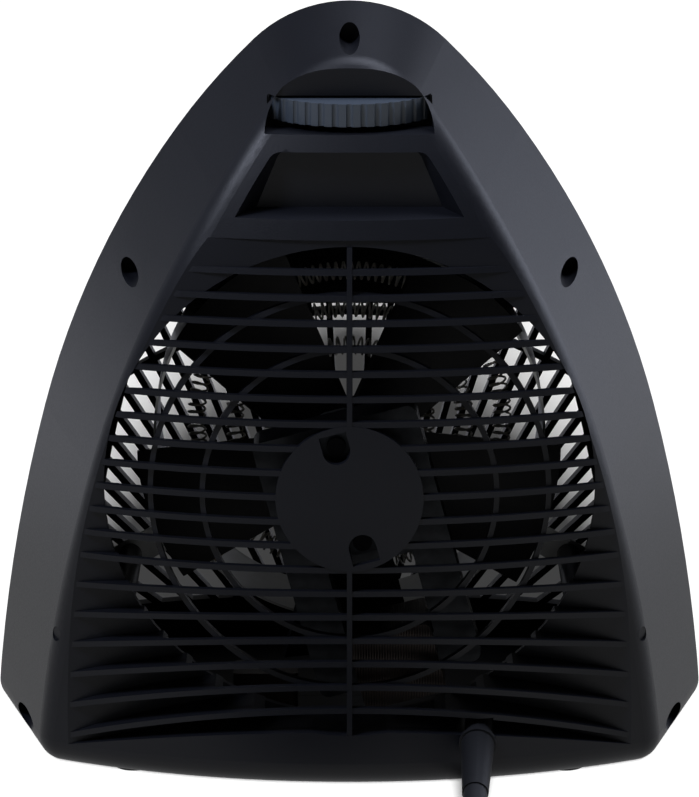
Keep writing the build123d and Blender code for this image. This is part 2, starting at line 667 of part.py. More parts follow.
# ---------------------------------------------------------------- fan
def blade_section(radius, turn, chord, pitch):
    """Curved blade section standing across the radius."""
    angle = math.radians(turn)
    across = Vector(-math.sin(angle), 0, math.cos(angle))
    outward = Vector(math.cos(angle), 0, math.sin(angle))
    centre = Vector(0, FAN_Y + FAN_HUB_DEPTH / 2, AXIS_Z) + outward * radius
    camber = 0.12 * chord
    with BuildSketch(Plane(centre, x_dir=across, z_dir=outward).rotated((0, 0, pitch))) as section:
        with BuildLine():
            for lift in (0, BLADE_THICKNESS):
                ThreePointArc((-chord / 2, lift), (0, camber + lift), (chord / 2, lift))
            for side in (-1, 1):
                Line((side * chord / 2, 0), (side * chord / 2, BLADE_THICKNESS))
        make_face()
    return section.sketch


fan_bore = MOTOR_SHAFT_RADIUS + 0.02
with BuildPart() as fan:
    for number in range(FAN_BLADES):
        turn = number * 360 / FAN_BLADES + FAN_TURN
        root_section = blade_section(FAN_HUB_RADIUS - 3, turn, *BLADE_ROOT)
        tip_section = blade_section(FAN_RADIUS + 3, turn, *BLADE_TIP)
        loft([root_section, tip_section])
    add(rod(0, AXIS_Z, FAN_RADIUS, 0, 60), mode=Mode.INTERSECT)
    add(rod(0, AXIS_Z, FAN_HUB_RADIUS, FAN_Y, FAN_Y + FAN_HUB_DEPTH))
    add(rod(0, AXIS_Z, FAN_HUB_RADIUS - 2, FAN_Y + 2, FAN_Y + FAN_HUB_DEPTH), mode=Mode.SUBTRACT)
    add(rod(0, AXIS_Z, 4, FAN_Y, FAN_Y + FAN_HUB_DEPTH))
    add(rod(0, AXIS_Z, fan_bore, FAN_Y - 1, FAN_Y + FAN_HUB_DEPTH + 1), mode=Mode.SUBTRACT)
finish(fan.part, "fan_impeller")

with BuildPart() as fan_clip:
    add(rod(0, AXIS_Z, 4.2, FAN_Y - 1.2, FAN_Y))
    add(rod(0, AXIS_Z, fan_bore, FAN_Y - 2, FAN_Y + 1), mode=Mode.SUBTRACT)
finish(fan_clip.part, "fan_push_clip")

# ---------------------------------------------------------------- heating element
arm_front_y = shroud_rear_y - SHEET
with BuildPart() as shroud:
    add(rod(0, AXIS_Z, SHROUD_RADIUS + SHEET, SHROUD_Y, shroud_rear_y))
    with BuildSketch(facing(shroud_rear_y)):
        for turn in SHROUD_ARMS:
            with Locations(Location((0, AXIS_Z, 0), (0, 0, turn))):
                with Locations((SHROUD_RADIUS - 2, 0)):
                    Rectangle(SHROUD_POST_REACH + 5 - SHROUD_RADIUS + 2, 9, align=(Align.MIN, Align.CENTER))
    extrude(amount=SHEET)
    add(rod(0, AXIS_Z, SHROUD_RADIUS, SHROUD_Y - 1, shroud_rear_y + 1), mode=Mode.SUBTRACT)
    for x, z in arm_spots:
        add(rod(x, z, 1.4, arm_front_y - 1, shroud_rear_y + 1), mode=Mode.SUBTRACT)
finish(shroud.part, "element_shroud")

with BuildPart() as shroud_screws:
    for x, z in arm_spots:
        add(rod(x, z, 1.05, arm_front_y, shroud_rear_y + 9))
        add(rod(x, z, 2.3, arm_front_y - 1.8, arm_front_y))
finish(shroud_screws.part, "element_screws")

element_y = SHROUD_Y + SHROUD_DEPTH / 2
board_reach = SHROUD_RADIUS - 0.3
board_depth = SHROUD_DEPTH - 4


def mica_board(turn, slot_side):
    """Board across the shroud with a hole for each coil crossing and a half-lap slot at the axis."""
    angle = math.radians(turn)
    plane = Plane((0, element_y, AXIS_Z), x_dir=(math.cos(angle), 0, math.sin(angle)),
                  z_dir=(-math.sin(angle), 0, math.cos(angle)))
    with BuildPart() as board:
        with BuildSketch(plane):
            Rectangle(2 * board_reach, board_depth)
            for radius in COIL_RINGS.values():
                with Locations((radius, 0), (-radius, 0)):
                    Circle(COIL_RADIUS + 0.3, mode=Mode.SUBTRACT)
            with Locations((0, slot_side * board_depth / 4)):
                Rectangle(BOARD_THICKNESS + 0.6, board_depth / 2 + 0.3, mode=Mode.SUBTRACT)
        extrude(amount=BOARD_THICKNESS / 2, both=True)
    return board.part


finish(mica_board(45, 1), "mica_board_a")
finish(mica_board(135, -1), "mica_board_b")

for name, radius in COIL_RINGS.items():
    with BuildPart() as coil:
        with BuildSketch(Plane.YZ):
            with Locations((element_y, AXIS_Z + radius)):
                RegularPolygon(COIL_RADIUS, 8)
        revolve(axis=Axis((0, 0, AXIS_Z), (0, 1, 0)))
    finish(coil.part, f"heating_coil_{name}")

cutout_z = AXIS_Z + SHROUD_RADIUS + SHEET
with BuildPart() as thermal_cutout:
    with BuildSketch(Plane.XY.offset(cutout_z)):
        with Locations((0, element_y)):
            Rectangle(24, 8)
            Circle(8)
    extrude(amount=1)
    with BuildSketch(Plane.XY.offset(cutout_z + 1)):
        with Locations((0, element_y)):
            Circle(7.5)
    extrude(amount=7)
    add(rod(0, AXIS_Z, cutout_z - AXIS_Z, SHROUD_Y - 9, shroud_rear_y + 9), mode=Mode.SUBTRACT)
finish(thermal_cutout.part, "thermal_cutout")

# ---------------------------------------------------------------- thermostat
body_top = SHELF_Z - 0.3
with BuildPart() as thermostat:
    with BuildSketch(Plane.XY.offset(body_top)):
        with Locations((0, WHEEL_Y)):
            RectangleRounded(THERMOSTAT_SIZE[0], THERMOSTAT_SIZE[1], 2)
    extrude(amount=-THERMOSTAT_SIZE[2])
    nut_top = SHELF_Z + SHELF_THICKNESS + 2.4
    with BuildSketch(Plane.XY.offset(body_top)):
        with Locations((0, WHEEL_Y)):
            Circle(BUSHING_RADIUS)
    extrude(amount=nut_top - body_top)
    with Locations((0, WHEEL_Y, body_top - THERMOSTAT_SIZE[2] / 2)):
        for side in (-1, 1):
            with Locations((side * (THERMOSTAT_SIZE[0] / 2 + 3), 0, -3)):
                Box(6.4, 6.3, 0.8)
    with BuildSketch(Plane.XY.offset(body_top - 8)):
        with Locations((0, WHEEL_Y)):
            Circle(SHAFT_RADIUS + 0.05)
    extrude(amount=30, mode=Mode.SUBTRACT)
finish(thermostat.part, "thermostat_body")

with BuildPart() as thermostat_nut:
    with BuildSketch(Plane.XY.offset(SHELF_Z + SHELF_THICKNESS)):
        with Locations((0, WHEEL_Y)):
            RegularPolygon(7.5, 6)
            Circle(BUSHING_RADIUS + 0.05, mode=Mode.SUBTRACT)
    extrude(amount=2.4)
finish(thermostat_nut.part, "thermostat_nut")

with BuildPart() as thermostat_shaft:
    with BuildSketch(Plane.XY.offset(body_top - 7.5)):
        with Locations((0, WHEEL_Y)):
            Circle(SHAFT_RADIUS)
    extrude(amount=wheel_top_z - 1 - body_top + 7.5)
finish(thermostat_shaft.part, "thermostat_shaft")

with BuildPart() as wheel:
    with BuildSketch(Plane.XY.offset(WHEEL_Z)):
        with Locations((0, WHEEL_Y)):
            Circle(WHEEL_RADIUS)
            with PolarLocations(WHEEL_RADIUS + RIB_GROOVE / 3, WHEEL_RIBS):
                Circle(RIB_GROOVE, mode=Mode.SUBTRACT)
    extrude(amount=WHEEL_HEIGHT)
    with BuildSketch(Plane.XY.offset(WHEEL_Z)):
        with Locations((0, WHEEL_Y)):
            Circle(WHEEL_RADIUS - 3)
            Circle(SHAFT_RADIUS + 3.2, mode=Mode.SUBTRACT)
    extrude(amount=WHEEL_HEIGHT - 2, mode=Mode.SUBTRACT)
    with BuildSketch(Plane.XY.offset(WHEEL_Z)):
        with Locations((0, WHEEL_Y)):
            Circle(SHAFT_RADIUS + 0.02)
    extrude(amount=WHEEL_HEIGHT - 0.9, mode=Mode.SUBTRACT)
finish(wheel.part, "thermostat_wheel")

# ---------------------------------------------------------------- tip-over switch
switch_bottom = BASE_Z + WALL + 0.3
plunger_rest_z = 0.2
with BuildPart() as tipover:
    with BuildSketch(Plane.XY.offset(switch_bottom)):
        with Locations((TIPOVER_X, TIPOVER_Y)):
            RectangleRounded(TIPOVER_SIZE[0], TIPOVER_SIZE[1], 1.5)
    extrude(amount=TIPOVER_SIZE[2])
    with BuildSketch(Plane.XY.offset(switch_bottom)):
        with Locations((TIPOVER_X, TIPOVER_Y)):
            Circle(PLUNGER_RADIUS + 0.1)
    extrude(amount=TIPOVER_SIZE[2] - 3, mode=Mode.SUBTRACT)
finish(tipover.part, "tipover_switch")

with BuildPart() as plunger:
    with BuildSketch(Plane.XY.offset(plunger_rest_z)):
        with Locations((TIPOVER_X, TIPOVER_Y)):
            Circle(PLUNGER_RADIUS)
    extrude(amount=switch_bottom + 10 - plunger_rest_z)
    fillet(plunger.faces().sort_by(Axis.Z)[0].edges(), radius=1.2)
finish(plunger.part, "tipover_plunger")

# ---------------------------------------------------------------- mains lead
swing, sink = math.radians(RELIEF_SWING), math.radians(RELIEF_DROOP)
lead_direction = Vector(math.sin(swing), math.cos(swing) * math.cos(sink), -math.sin(sink))
lead_plane = Plane(INLET, z_dir=lead_direction)
with BuildPart() as relief:
    with BuildSketch(lead_plane.offset(-6)):
        Circle(INLET_HALF - 0.4)
    extrude(amount=10)
    with BuildSketch(lead_plane.offset(4)):
        Circle(INLET_HALF - 0.4)
    extrude(amount=1)
    with BuildSketch(lead_plane.offset(4.7)):
        Circle(CORD_RADIUS + 2.1)
    extrude(amount=1.5)
    with BuildSketch(lead_plane.offset(6)):
        Circle(CORD_RADIUS + 1.5)
    with BuildSketch(lead_plane.offset(RELIEF_LENGTH)):
        Circle(CORD_RADIUS + 0.4)
    loft()
finish(relief.part, "strain_relief")

lead_start = Vector(INLET) + lead_direction * RELIEF_LENGTH
floor_z = CORD_RADIUS + 0.1
turn_rise = CORD_RADIUS * math.sqrt(3)  # height of the upper layer of turns over the lower one
coil_outer = COIL_MEAN + 3 * CORD_RADIUS
coil_centre = Vector(COIL_ENTRY[0] + coil_outer, COIL_ENTRY[1], 0)
LEAD_ROUTE = [lead_start, lead_start + lead_direction * 12, Vector(-35.0, 128, 5.0), Vector(-34.0, 147, 3.7),
              Vector(-33.3, 164.5, floor_z), Vector(COIL_ENTRY[0], COIL_ENTRY[1], floor_z)]
tail_start = coil_centre + Vector(0, COIL_MEAN + 2 * CORD_RADIUS, floor_z + turn_rise)
plug_z = PLUG_SIZE[0] / 2 + 0.2
TAIL_ROUTE = [tail_start, tail_start + Vector(13, 0.4, 0.9), tail_start + Vector(27, 0.3, -0.2),
              Vector(tail_start.X + 40, tail_start.Y - 0.3, plug_z),
              Vector(tail_start.X + 51, tail_start.Y - 0.8, plug_z)]

with BuildPart() as cord_coil:
    with BuildSketch(Plane.XZ.offset(-coil_centre.Y)):
        with BuildLine():
            middle = coil_centre.X + COIL_MEAN
            low_half, high_half = 4 * CORD_RADIUS, 3 * CORD_RADIUS
            top_z = floor_z + turn_rise + CORD_RADIUS
            Polyline((middle - low_half, 0.1), (middle + low_half, 0.1), (middle + low_half, floor_z + 1),
                     (middle + high_half, top_z), (middle - high_half, top_z),
                     (middle - low_half, floor_z + 1), close=True)
        make_face()
    revolve(axis=Axis(coil_centre, (0, 0, 1)))
finish(cord_coil.part, "cord_coil")


def swept_lead(points, label):
    """Round lead along straight runs joined by tangent arcs, cut where it joins the coil."""
    radii = []
    for before, corner, after in zip(points, points[1:], points[2:]):
        arriving, leaving = corner - before, after - corner
        turn = math.radians(arriving.get_angle(leaving))
        radii.append(0.45 * min(arriving.length, leaving.length) / math.tan(turn / 2))
    print(label, "bend radii", [round(radius) for radius in radii])
    with BuildPart() as lead:
        with BuildLine() as path:
            FilletPolyline(*points, radius=radii)
        with BuildSketch(Plane(points[0], z_dir=points[1] - points[0])):
            Circle(CORD_RADIUS)
        sweep(path=path.line)
        expected = math.pi * CORD_RADIUS**2 * sum(edge.length for edge in path.edges())
        print(label, "volume over section times length", round(lead.part.volume / expected, 4))
        add(cord_coil.part, mode=Mode.SUBTRACT)
    return lead.part.solids().sort_by(SortBy.VOLUME)[-1]


finish(swept_lead(LEAD_ROUTE, "cord_lead"), "cord_lead")
finish(swept_lead(TAIL_ROUTE, "cord_tail"), "cord_tail")

plug_plane = Plane(TAIL_ROUTE[-1], x_dir=(0, 0, 1), z_dir=TAIL_ROUTE[-1] - TAIL_ROUTE[-2])
with BuildPart() as plug:
    with BuildSketch(plug_plane):
        Circle(CORD_RADIUS + 0.8)
    with BuildSketch(plug_plane.offset(PLUG_NECK)):
        Circle(PLUG_SIZE[0] / 2 - 1)
    loft()
    with BuildSketch(plug_plane.offset(PLUG_NECK)):
        RectangleRounded(PLUG_SIZE[0], PLUG_SIZE[1], 4)
    extrude(amount=PLUG_SIZE[2])
    fillet(plug.faces().sort_by(Axis.X)[-1].edges(), radius=1.5)
finish(plug.part, "plug_body")

with BuildPart() as plug_blades:
    with BuildSketch(plug_plane.offset(PLUG_NECK + PLUG_SIZE[2])):
        with Locations((0, BLADE_SPACING / 2), (0, -BLADE_SPACING / 2)):
            Rectangle(6.3, 1.5)
    extrude(amount=16)
finish(plug_blades.part, "plug_blades")
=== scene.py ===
"""Dressing for the domed fan heater: finishes, mains cord, wound heating wire, light and camera."""

import math

import bmesh
import bpy
from mathutils import Matrix, Vector


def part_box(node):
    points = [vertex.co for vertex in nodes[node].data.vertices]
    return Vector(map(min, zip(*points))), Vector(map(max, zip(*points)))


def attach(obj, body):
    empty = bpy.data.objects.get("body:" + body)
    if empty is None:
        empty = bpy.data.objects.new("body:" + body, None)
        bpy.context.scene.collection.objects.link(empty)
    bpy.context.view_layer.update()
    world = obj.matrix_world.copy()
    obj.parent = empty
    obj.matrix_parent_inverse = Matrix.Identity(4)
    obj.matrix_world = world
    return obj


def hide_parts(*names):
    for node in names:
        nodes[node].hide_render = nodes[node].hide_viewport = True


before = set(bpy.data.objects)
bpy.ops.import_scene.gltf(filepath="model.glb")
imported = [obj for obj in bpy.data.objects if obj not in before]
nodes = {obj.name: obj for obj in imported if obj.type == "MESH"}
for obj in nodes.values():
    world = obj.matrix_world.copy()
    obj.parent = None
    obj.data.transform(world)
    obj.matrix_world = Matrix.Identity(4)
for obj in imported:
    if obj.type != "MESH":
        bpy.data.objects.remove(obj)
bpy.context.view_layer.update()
MM = 0.001


# ---------------------------------------------------------------- materials
def colour(hex_value):
    """Linear colour of an sRGB hex value."""
    parts = [int(hex_value[start:start + 2], 16) / 255 for start in (1, 3, 5)]
    return [part / 12.92 if part <= 0.04045 else ((part + 0.055) / 1.055) ** 2.4
            for part in parts] + [1.0]


def add_node(tree, kind, settings=None, sockets=None):
    """Add a shader node, set its options, and fill each input with a value or a link."""
    node = tree.nodes.new(kind)
    for name, value in (settings or {}).items():
        setattr(node, name, value)
    for name, value in (sockets or {}).items():
        if isinstance(value, bpy.types.NodeSocket):
            tree.links.new(value, node.inputs[name])
        else:
            node.inputs[name].default_value = value
    return node


def new_material(name):
    """Empty material with its shader and Object coordinates."""
    material = bpy.data.materials.new(name)
    material.use_nodes = True
    tree = material.node_tree
    shader = tree.nodes["Principled BSDF"]
    place = add_node(tree, "ShaderNodeTexCoord").outputs["Object"]
    return material, tree, shader, place


def blend_colours(tree, factor, low, high):
    """Colour between two hex values, by a factor socket."""
    mix = add_node(tree, "ShaderNodeMix", {"data_type": "RGBA"},
                   {0: factor, 6: colour(low), 7: colour(high)})
    return mix.outputs[2]


def ramp(tree, value, start, end, low, high):
    """Clamped straight ramp of a value socket."""
    sockets = {"Value": value, "From Min": start, "From Max": end, "To Min": low, "To Max": high}
    return add_node(tree, "ShaderNodeMapRange", None, sockets).outputs["Result"]


DRIFT_SCALE = 28.0  # patches per metre, as in the two scales below
WEAR_SCALE = 300.0
FLAKE_SCALE = 450.0
GLOSS_SPREAD = 0.07
PLASTIC_IOR = 1.5
COATING_RELIEF = 0.05 * MM
LAYER_RELIEF = 0.15 * MM
FLAKE_RELIEF = 0.08 * MM
WAVE_FACTOR = 20  # the band texture multiplies every place by this


def moulded(name, dark, light, roughness, grain_mm, relief_mm, specular=0.5):
    """Moulded plastic: a spark-eroded grain breaks the highlight, and the tone drifts over the part."""
    material, tree, shader, place = new_material(name)
    drift = add_node(tree, "ShaderNodeTexNoise", None,
                     {"Vector": place, "Scale": DRIFT_SCALE, "Detail": 3.0})
    grain = add_node(tree, "ShaderNodeTexNoise", None,
                     {"Vector": place, "Scale": 1 / (grain_mm * MM), "Detail": 2.0, "Roughness": 0.6})
    bump = add_node(tree, "ShaderNodeBump", None,
                    {"Height": grain.outputs["Fac"], "Distance": relief_mm * MM, "Strength": 0.55})
    tree.links.new(blend_colours(tree, drift.outputs["Fac"], dark, light), shader.inputs["Base Color"])
    gloss = ramp(tree, grain.outputs["Fac"], 0.0, 1.0, roughness - GLOSS_SPREAD, roughness + GLOSS_SPREAD)
    tree.links.new(gloss, shader.inputs["Roughness"])
    tree.links.new(bump.outputs["Normal"], shader.inputs["Normal"])
    shader.inputs["IOR"].default_value = PLASTIC_IOR
    shader.inputs["Specular IOR Level"].default_value = specular
    return material


def plated(name, dark, light, roughness, mottle_mm, metallic=1.0):
    """Plated or bare metal: the mottle of the coating changes its tone and gloss."""
    material, tree, shader, place = new_material(name)
    mottle = add_node(tree, "ShaderNodeTexNoise", None,
                      {"Vector": place, "Scale": 1 / (mottle_mm * MM), "Detail": 4.0, "Roughness": 0.55})
    bump = add_node(tree, "ShaderNodeBump", None,
                    {"Height": mottle.outputs["Fac"], "Distance": COATING_RELIEF, "Strength": 0.3})
    tree.links.new(blend_colours(tree, mottle.outputs["Fac"], dark, light), shader.inputs["Base Color"])
    gloss = ramp(tree, mottle.outputs["Fac"], 0.0, 1.0, roughness - 0.08, roughness + 0.12)
    tree.links.new(gloss, shader.inputs["Roughness"])
    tree.links.new(bump.outputs["Normal"], shader.inputs["Normal"])
    shader.inputs["Metallic"].default_value = metallic
    return material


def layered(name, dark, light, pitch_mm, axis, metallic, roughness):
    """Stacked sheets or wound wire: fine parallel lines across the part."""
    material, tree, shader, place = new_material(name)
    lines = add_node(tree, "ShaderNodeTexWave", {"wave_type": "BANDS", "bands_direction": axis},
                     {"Vector": place, "Scale": 2 * math.pi / (WAVE_FACTOR * pitch_mm * MM),
                      "Distortion": 0.0})
    worn = add_node(tree, "ShaderNodeTexNoise", None,
                    {"Vector": place, "Scale": WEAR_SCALE, "Detail": 3.0})
    toned = add_node(tree, "ShaderNodeMath", {"operation": "MULTIPLY"},
                     {0: lines.outputs["Fac"], 1: worn.outputs["Fac"]})
    bump = add_node(tree, "ShaderNodeBump", None,
                    {"Height": lines.outputs["Fac"], "Distance": LAYER_RELIEF, "Strength": 0.7})
    tree.links.new(blend_colours(tree, toned.outputs["Value"], dark, light), shader.inputs["Base Color"])
    tree.links.new(bump.outputs["Normal"], shader.inputs["Normal"])
    shader.inputs["Metallic"].default_value = metallic
    shader.inputs["Roughness"].default_value = roughness
    return material


def mica_board():
    """Pressed mica: pearly flakes in a tan binder."""
    material, tree, shader, place = new_material("pressed mica board")
    flakes = add_node(tree, "ShaderNodeTexVoronoi", {"feature": "F1"},
                      {"Vector": place, "Scale": FLAKE_SCALE})
    bump = add_node(tree, "ShaderNodeBump", None,
                    {"Height": flakes.outputs["Distance"], "Distance": FLAKE_RELIEF, "Strength": 0.5})
    tree.links.new(blend_colours(tree, flakes.outputs["Distance"], "#B9A982", "#7E6F50"),
                   shader.inputs["Base Color"])
    tree.links.new(bump.outputs["Normal"], shader.inputs["Normal"])
    shader.inputs["Roughness"].default_value = 0.42
    shader.inputs["Sheen Weight"].default_value = 0.15
    return material


SHELL_DARK = "#0B0C11"
SHELL_LIGHT = "#101218"
finishes = {
    # the spark-eroded tool leaves an even satin that turns grey where it grazes the light
    "rear_shell": moulded("moulded ABS housing, charcoal", SHELL_DARK, SHELL_LIGHT, 0.44, 0.6, 0.05, 0.25),
    "front_shell": moulded("moulded ABS front, charcoal", SHELL_DARK, SHELL_LIGHT, 0.44, 0.6, 0.05, 0.25),
    "front_grille": moulded("moulded heat-resistant nylon grille", "#0D0E11", "#131417",
                            0.5, 0.7, 0.05, 0.25),
    "thermostat_wheel": moulded("moulded ABS thumbwheel, slate", "#363D46", "#404851", 0.42, 0.5, 0.04),
    "rubber_feet": moulded("moulded rubber feet", "#0E0E0F", "#161617", 0.82, 0.9, 0.06, 0.3),
    "fan_impeller": moulded("glass-filled nylon fan", "#060607", "#0A0A0C", 0.5, 0.5, 0.05, 0.2),
    "plug_body": moulded("moulded PVC plug", "#111214", "#17181A", 0.5, 0.6, 0.04),
    "strain_relief": moulded("moulded PVC strain relief", "#0B0C0F", "#101114", 0.55, 0.6, 0.04, 0.25),
    "tipover_plunger": moulded("natural acetal plunger", "#CFCBBE", "#DBD8CC", 0.35, 0.8, 0.02),
    "thermostat_body": moulded("phenolic thermostat body", "#2A211B", "#372B22", 0.4, 0.5, 0.03),
    "tipover_switch": moulded("phenolic switch body", "#17110E", "#221913", 0.4, 0.5, 0.03),
    "thermal_cutout": moulded("phenolic cut-out body", "#1F1813", "#2B211A", 0.38, 0.5, 0.03),
    "shell_screws": plated("black zinc screws", "#17181A", "#26272A", 0.45, 1.5),
    # the motor screws' near-black tone is painted shade for the hub holes they sit behind
    "motor_screws": plated("near-black motor screws, painted hole shade", "#0B0B0C", "#151517", 0.55, 1.2),
    "motor_mount_screws": plated("bright zinc mount screws", "#A9ABAF", "#C9CBCE", 0.3, 1.2),
    "element_screws": plated("bright zinc element screws", "#A9ABAF", "#C9CBCE", 0.3, 1.2),
    "fan_push_clip": plated("spring steel clip", "#7C7E82", "#9A9CA0", 0.34, 1.2),
    # the rear bracket's dark tone is painted shade for the dark inside of the heater behind the rear
    # grille
    "motor_bracket_rear": plated("rear bracket darkened as painted shade", "#1D1E20", "#2F3134", 0.45, 2.4),
    "motor_bracket_front": plated("zinc-plated front bracket", "#9FA1A4", "#BDBFC1", 0.36, 2.4),
    "motor_rotor": plated("turned rotor steel", "#8C8E91", "#A8AAAD", 0.28, 1.6),
    "element_shroud": plated("aluminised steel shroud", "#A5A6A6", "#C4C5C4", 0.38, 4.0),
    "thermostat_nut": plated("nickel-plated nut", "#A8A59C", "#C4C1B8", 0.26, 1.4),
    "thermostat_shaft": plated("turned brass shaft", "#A98748", "#C6A562", 0.3, 1.2),
    "plug_blades": plated("stamped brass blades", "#B2924F", "#CDAE69", 0.28, 1.6),
    "motor_stack": layered("laminated silicon steel", "#141517", "#36383B", 0.9, "Y", 0.85, 0.46),
    "motor_coil": layered("varnished copper winding", "#0D0907", "#2A1B13", 0.8, "X", 0.6, 0.34),
    "mica_board_a": mica_board(),
}
finishes["mica_board_b"] = finishes["mica_board_a"]
nichrome = plated("oxidised nichrome wire", "#BDB8B0", "#E0DCD5", 0.4, 2.0, 0.5)
sheath = moulded("flexible PVC cord sheath", "#0C0D10", "#131417", 0.58, 0.8, 0.05, 0.3)

for name, material in finishes.items():
    slots = nodes[name].data.materials
    slots.clear()
    slots.append(material)


# ---------------------------------------------------------------- helpers for new pieces
def curve_piece(name, points, wire_radius, material, around, along, cyclic=False):
    """Round wire or cord along one NURBS line with these control points."""
    curve = bpy.data.curves.new(name, "CURVE")
    curve.dimensions = "3D"
    curve.bevel_depth = wire_radius
    curve.bevel_resolution = around
    curve.resolution_u = along
    curve.use_fill_caps = not cyclic
    line = curve.splines.new("NURBS")
    line.points.add(len(points) - 1)
    for spot, point in zip(line.points, points):
        spot.co = (*point, 1.0)
    line.order_u = 3
    line.use_cyclic_u = cyclic
    line.use_endpoint_u = not cyclic
    curve.materials.append(material)
    piece = bpy.data.objects.new(name, curve)
    bpy.context.scene.collection.objects.link(piece)
    return piece


# ---------------------------------------------------------------- mains cord
CORD_RADIUS = 3.5 * MM
FLOOR_Z = CORD_RADIUS + 0.1 * MM
INLET = Vector((-38.5, 68.0, 18.6)) * MM
RELIEF_LENGTH = 32 * MM
SWING = math.radians(3)  # turn of the strain relief to the side
DROOP = math.radians(13)
exit_aim = Vector((math.sin(SWING), math.cos(SWING) * math.cos(DROOP), -math.sin(DROOP)))
cord_exit = INLET + exit_aim * RELIEF_LENGTH
COIL_CENTRE = Vector((19.5, 180.0, 0.0)) * MM
TRACKS = [(radius * MM, FLOOR_Z) for radius in (52.5, 45.5, 38.5, 31.5)]
TRACKS += [(radius * MM, FLOOR_Z + CORD_RADIUS * math.sqrt(3)) for radius in (35.0, 42.0, 49.0)]
STEPS_PER_TURN = 18
LAST_TURN_SHARE = 0.25
TRACK_SHARE = 0.7  # part of each turn that stays on its track before it moves to the next


def coil_points():
    """Turns of the stored cord: four on the floor from the outside in, then back out on top of them."""
    step = 2 * math.pi / STEPS_PER_TURN
    bulge = 4 / (3 + math.cos(step))  # the smooth line runs inside its control points
    count = round((len(TRACKS) - 1 + LAST_TURN_SHARE) * STEPS_PER_TURN)
    points = []
    for number in range(count + 1):
        track, share = divmod(number / STEPS_PER_TURN, 1)
        radius, height = TRACKS[int(track)]
        if int(track) + 1 < len(TRACKS):
            next_radius, next_height = TRACKS[int(track) + 1]
            move = max(0.0, (share - TRACK_SHARE) / (1 - TRACK_SHARE))
            move = move * move * (3 - 2 * move)
            radius += (next_radius - radius) * move
            height += (next_height - height) * move
        angle = math.pi - number * step
        points.append(COIL_CENTRE + Vector((radius * bulge * math.cos(angle),
                                            radius * bulge * math.sin(angle), height)))
    return points


lead_points = [cord_exit, cord_exit + exit_aim * 12 * MM, Vector((-35.0, 128.0, 5.0)) * MM,
               Vector((-34.0, 147.0, 3.7)) * MM, Vector((-33.3 * MM, 164.5 * MM, FLOOR_Z))]
turn_points = coil_points()
tail_start = COIL_CENTRE + Vector((0, TRACKS[-1][0], TRACKS[-1][1]))
PLUG_HEIGHT = 7.7 * MM  # centre of the plug's neck above the floor
tail_points = [tail_start + Vector((13.0, 0.4, 0.9)) * MM,
               tail_start + Vector((27.0, 0.3, -0.2)) * MM,
               Vector((tail_start.x + 40 * MM, tail_start.y - 0.3 * MM, PLUG_HEIGHT)),
               Vector((tail_start.x + 51 * MM, tail_start.y - 0.8 * MM, PLUG_HEIGHT))]
cord = curve_piece("mains_cord", lead_points + turn_points + tail_points, CORD_RADIUS, sheath,
                   around=5, along=6)
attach(cord, "heater")
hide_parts("cord_lead", "cord_coil", "cord_tail")


# ---------------------------------------------------------------- heating wire
WIRE_RADIUS = 0.36 * MM
WIRE_PITCH = 2.3 * MM
LOOP_STEPS = 8


def heating_coil(name, node):
    """Wound nichrome spring bent into a ring in the place of its solid."""
    low, high = (Vector(corner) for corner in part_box(node))
    centre = (low + high) / 2
    coil_radius = (high.y - low.y) / 2
    ring_radius = (high.x - low.x) / 2 - coil_radius
    loops = round(2 * math.pi * ring_radius / WIRE_PITCH)
    wound = coil_radius - WIRE_RADIUS
    points = []
    for number in range(loops * LOOP_STEPS):
        turn = 2 * math.pi * number / (loops * LOOP_STEPS)
        loop = 2 * math.pi * number / LOOP_STEPS
        reach = ring_radius + wound * math.cos(loop)
        points.append(centre + Vector((reach * math.cos(turn), wound * math.sin(loop),
                                       reach * math.sin(turn))))
    piece = curve_piece(name, points, WIRE_RADIUS, nichrome, around=1, along=2, cyclic=True)
    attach(piece, "heater")
    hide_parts(node)


heating_coil("nichrome_wire_inner", "heating_coil_inner")
heating_coil("nichrome_wire_middle", "heating_coil_middle")
heating_coil("nichrome_wire_outer", "heating_coil_outer")


# ---------------------------------------------------------------- stage
def combine(tree, operation, first, second):
    """Result of one sum on two values."""
    node = add_node(tree, "ShaderNodeMath", {"operation": operation}, {0: first, 1: second})
    return node.outputs["Value"]


def seen_directly(tree):
    """1 for camera rays, also through clear parts, and 0 for reflections and bounced light."""
    rays = add_node(tree, "ShaderNodeLightPath").outputs
    return combine(tree, "MAXIMUM", rays["Is Camera Ray"], rays["Is Transmission Ray"])


GLOW_FULL_Y = -0.42  # painted glow of the floor in front of the heater, seen only in reflections and bounced light, and where it fades out
GLOW_END_Y = -0.26
GLOW_STRENGTH = 0.5


def backdrop_material():
    """Pale floor, greyer in bounced light, with a painted glow in front of the heater that only
    reflections and bounced light see.
    """
    material, tree, shader, place = new_material("pale studio sweep")
    seen = seen_directly(tree)
    depth = add_node(tree, "ShaderNodeSeparateXYZ", None, {0: place}).outputs["Y"]
    # painted glow: the floor in front of the heater gives off light for reflections and bounced light, not
    # for the camera
    painted_glow = ramp(tree, depth, GLOW_FULL_Y, GLOW_END_Y, GLOW_STRENGTH, 0.0)
    painted_glow = combine(tree, "MULTIPLY", painted_glow, ramp(tree, seen, 0.0, 1.0, 1.0, 0.0))
    tree.links.new(painted_glow, shader.inputs["Emission Strength"])
    tree.links.new(blend_colours(tree, seen, "#A8A8A8", "#E6E6E6"), shader.inputs["Base Color"])
    shader.inputs["Emission Color"].default_value = colour("#E6EAFF")
    shader.inputs["Roughness"].default_value = 0.9
    shader.inputs["Specular IOR Level"].default_value = 0.0
    return material


